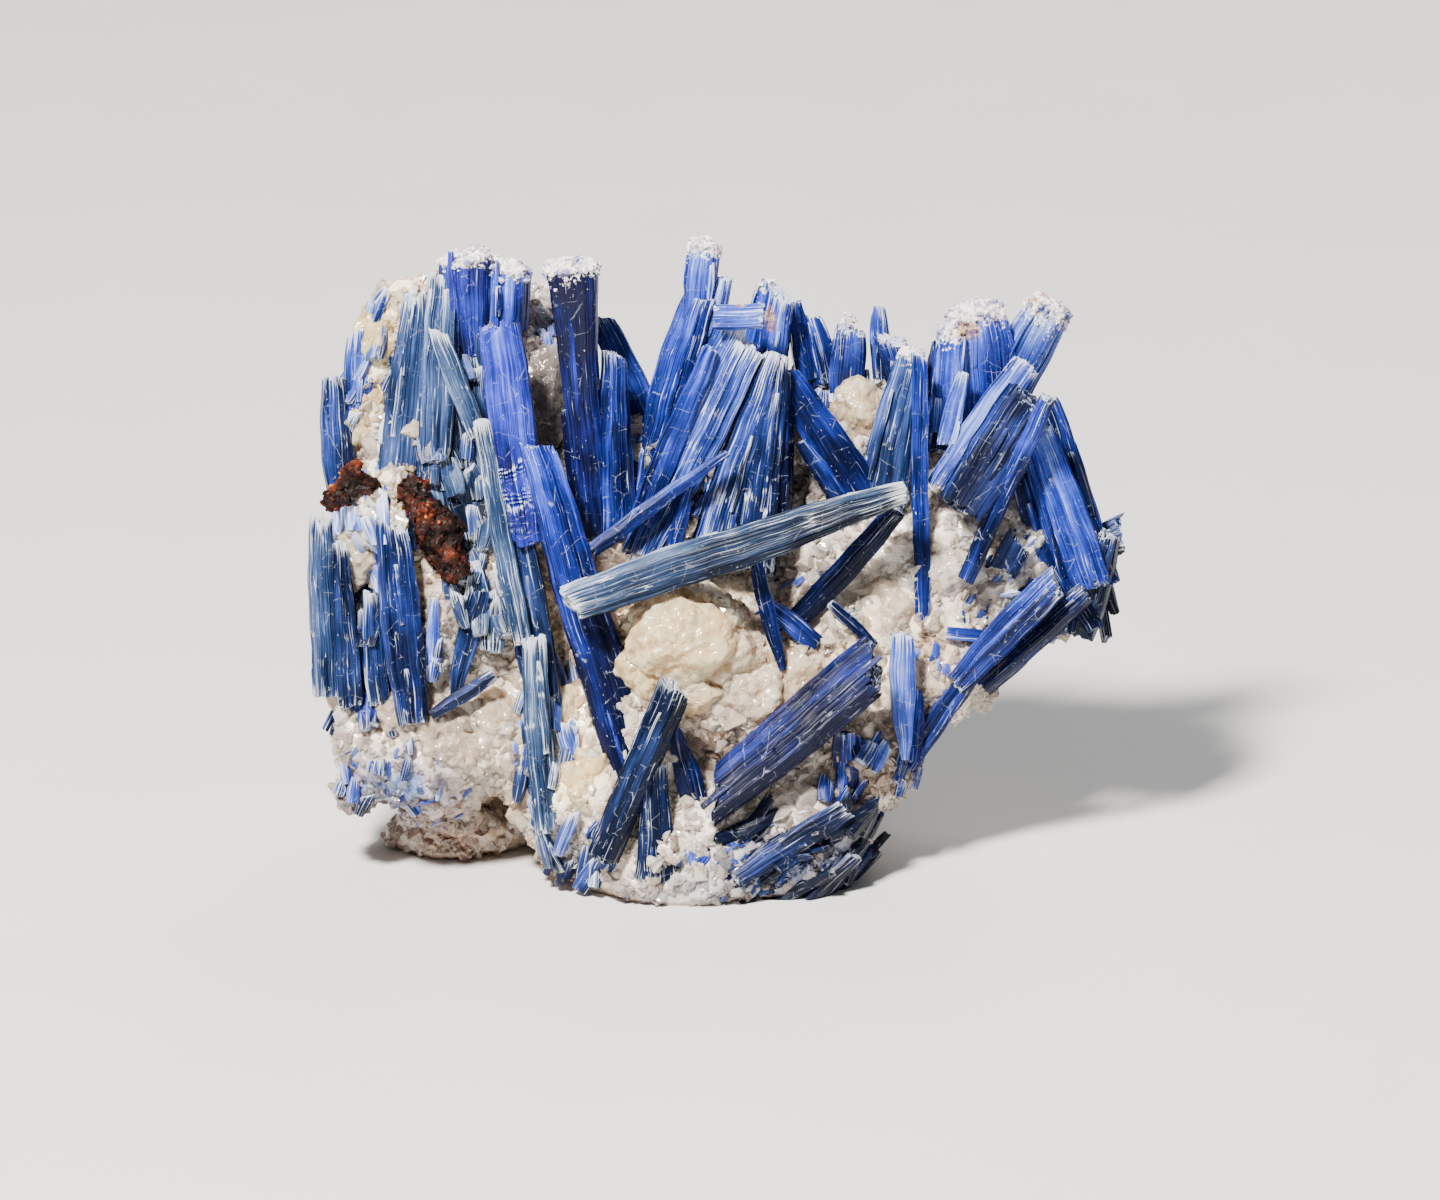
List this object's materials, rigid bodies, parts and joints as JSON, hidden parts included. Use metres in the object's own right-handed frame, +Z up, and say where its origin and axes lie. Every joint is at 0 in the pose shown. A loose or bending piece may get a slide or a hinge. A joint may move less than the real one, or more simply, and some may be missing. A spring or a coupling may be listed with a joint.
{
  "type": "kyanite blade cluster",
  "caption": "Kyanite specimen: blue blades grown through a block of white quartz with rusty iron oxide, standing on a flat broken base.",
  "frame": {"origin": "centre of the bounding box's footprint, on the flat broken base", "axes": "+X along the longest extent, to the right of the display face; -Y is towards someone who looks at the display face; +Z up"},
  "size_m": [0.1264, 0.0636, 0.0931],
  "materials": {
    "kyanite": "satin",
    "quartz": "satin",
    "iron_oxide": "matte"
  },
  "bodies": {
    "root": {"back_blade_high": "kyanite", "back_blade_left": "kyanite", "back_blade_low": "kyanite", "back_blade_right": "kyanite", "big_fan_blades": "kyanite", "blue_wedge_blade": "kyanite", "bottom_edge_blade": "kyanite", "broken_plate": "kyanite", "crossed_stub_blades": "kyanite", "crossing_blade": "kyanite", "dark_flank_blade": "kyanite", "dark_shard_left": "kyanite", "drop_blade": "kyanite", "east_nub": "kyanite", "edge_blades": "kyanite", "fan_blades": "kyanite", "far_right_spire": "kyanite", "foreground_block": "kyanite", "grey_broad_blade": "kyanite", "hanging_fan": "kyanite", "lance_blade": "kyanite", "leaning_blades": "kyanite", "left_crown_block": "kyanite", "low_cross_blade": "kyanite", "lower_left_blades": "kyanite", "lower_left_rim_blade": "kyanite", "navy_diagonal_blade": "kyanite", "outer_left_blade": "kyanite", "pale_diagonal_blade": "kyanite", "pale_flank_blades": "kyanite", "pale_splinter_left": "kyanite", "pale_splinter_right": "kyanite", "pillar_back_blade": "kyanite", "pillar_blades": "kyanite", "quartz_matrix": "quartz", "rear_dark_blades": "kyanite", "rear_left_blade": "kyanite", "rhomb_plate": "kyanite", "right_bend_blade": "kyanite", "right_crown_block": "kyanite", "right_ribs": "kyanite", "rod_blade": "kyanite", "royal_diagonal_blade": "kyanite", "rust_mass_large": "iron_oxide", "rust_mass_small": "iron_oxide", "side_plate": "kyanite", "slanted_shard": "kyanite", "spire_blades": "kyanite", "sprig_blade": "kyanite", "sprout_blade": "kyanite", "stub_blades_left": "kyanite", "stub_blades_right": "kyanite", "tab_blade": "kyanite", "teal_blades": "kyanite", "thin_diagonal_blade": "kyanite", "thin_upright_blade": "kyanite", "twin_tip_blades": "kyanite", "under_fans": "kyanite", "violet_blade": "kyanite"}
  },
  "joints": []
}
